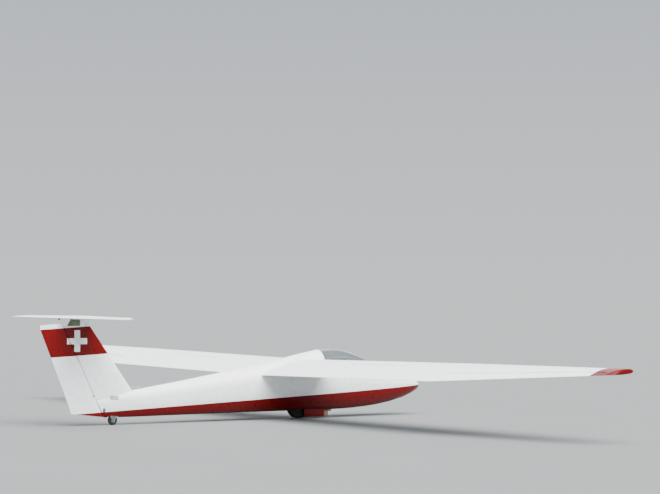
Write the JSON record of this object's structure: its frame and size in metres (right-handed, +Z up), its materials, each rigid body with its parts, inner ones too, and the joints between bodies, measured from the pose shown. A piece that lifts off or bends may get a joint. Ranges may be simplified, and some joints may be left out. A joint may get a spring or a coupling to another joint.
{
  "type": "single-seat glider aircraft",
  "caption": "All-metal single-seat sailplane with T-tail, shoulder wing, airbrakes, hinged canopy and one main wheel, parked on its wheels.",
  "frame": {"origin": "on the ground half way along the length, under the middle of the span, at the bottom centre of the bounding box", "axes": "+X to the nose, +Y to the port wing tip, +Z up"},
  "size_m": [6.57, 15, 1.5748],
  "materials": {
    "white_paint": "gloss",
    "red_paint": "gloss",
    "alloy": "satin",
    "steel": "satin",
    "tyre_rubber": "matte",
    "canopy_glass": "gloss",
    "cockpit_grey": "satin",
    "panel_black": "matte",
    "cushion": "woven",
    "lever_blue": "gloss"
  },
  "bodies": {
    "airframe": {"nose_cone": "white_paint", "cockpit_shell": "white_paint", "centre_fuselage": "white_paint", "turtle_deck": "white_paint", "tail_cone": "white_paint", "wing_port": "white_paint", "wing_starboard": "white_paint", "wing_tip_port": "red_paint", "wing_tip_starboard": "red_paint", "fin": "white_paint", "fin_cap": "white_paint", "fin_probe": "alloy", "tailplane": "white_paint", "main_axle": "steel", "main_gear_fork": "steel", "gear_door_port": "red_paint", "gear_door_starboard": "red_paint", "tail_axle": "steel", "tail_wheel_fork": "steel", "canopy_hinge_rear": "steel", "canopy_hinge_front": "steel", "cockpit_floor": "cockpit_grey", "seat_pan": "cockpit_grey", "headrest": "cushion", "instrument_panel": "panel_black", "control_stick": "panel_black", "rudder_pedal_port": "alloy", "rudder_pedal_starboard": "alloy", "airbrake_lever": "lever_blue", "tow_hook": "steel"},
    "canopy": {"canopy_frame": "white_paint", "canopy_glass": "canopy_glass", "canopy_handle": "panel_black"},
    "main_wheel": {"main_tyre": "tyre_rubber", "main_wheel_hub": "alloy"},
    "tail_wheel_body": {"tail_wheel": "tyre_rubber"},
    "rudder_body": {"rudder": "white_paint"},
    "elevator_body": {"elevator": "white_paint", "elevator_horn": "steel"},
    "aileron_port_body": {"aileron_port": "white_paint"},
    "aileron_starboard_body": {"aileron_starboard": "white_paint"},
    "airbrake_port_body": {"airbrake_port": "alloy"},
    "airbrake_starboard_body": {"airbrake_starboard": "alloy"}
  },
  "joints": [
    {"name": "canopy_hinge", "type": "hinge", "parent": "airframe", "child": "canopy", "pos_m": [1.6, -0.303, 0.697], "axis": [0.9975, 0.0559, -0.0426], "range_deg": [0, 88]},
    {"name": "main_wheel_spin", "type": "hinge", "parent": "airframe", "child": "main_wheel", "pos_m": [1.06, 0, 0.18], "axis": [0, 1, 0], "continuous": true},
    {"name": "tail_wheel_spin", "type": "hinge", "parent": "airframe", "child": "tail_wheel_body", "pos_m": [-2.12, 0, 0.072], "axis": [0, 1, 0], "continuous": true},
    {"name": "rudder_hinge", "type": "hinge", "parent": "airframe", "child": "rudder_body", "pos_m": [-2.319, 0, 0.14], "axis": [-0.4428, 0, 0.8966], "range_deg": [-30, 30]},
    {"name": "elevator_hinge", "type": "hinge", "parent": "airframe", "child": "elevator_body", "pos_m": [-2.8438, 0, 1.547], "axis": [0, 1, 0], "range_deg": [-20, 25]},
    {"name": "aileron_hinge", "type": "hinge", "parent": "airframe", "child": "aileron_port_body", "pos_m": [0.50697, 4.46, 0.77939], "axis": [0.1398, 0.9892, 0.0431], "range_deg": [-18, 18]},
    {"name": "aileron_starboard_hinge", "type": "hinge", "parent": "airframe", "child": "aileron_starboard_body", "pos_m": [0.50697, -4.46, 0.77939], "axis": [-0.1398, 0.9892, -0.0431], "range_deg": [-18, 18]},
    {"name": "airbrake_slide", "type": "slide", "parent": "airframe", "child": "airbrake_port_body", "axis": [0, 0, 1], "range_m": [0, 0.12]},
    {"name": "airbrake_starboard_slide", "type": "slide", "parent": "airframe", "child": "airbrake_starboard_body", "axis": [0, 0, 1], "range_m": [0, 0.12]}
  ],
  "couplings": [
    {"joint": "aileron_starboard_hinge", "follows": "aileron_hinge", "ratio": -1},
    {"joint": "airbrake_starboard_slide", "follows": "airbrake_slide", "ratio": 1}
  ]
}
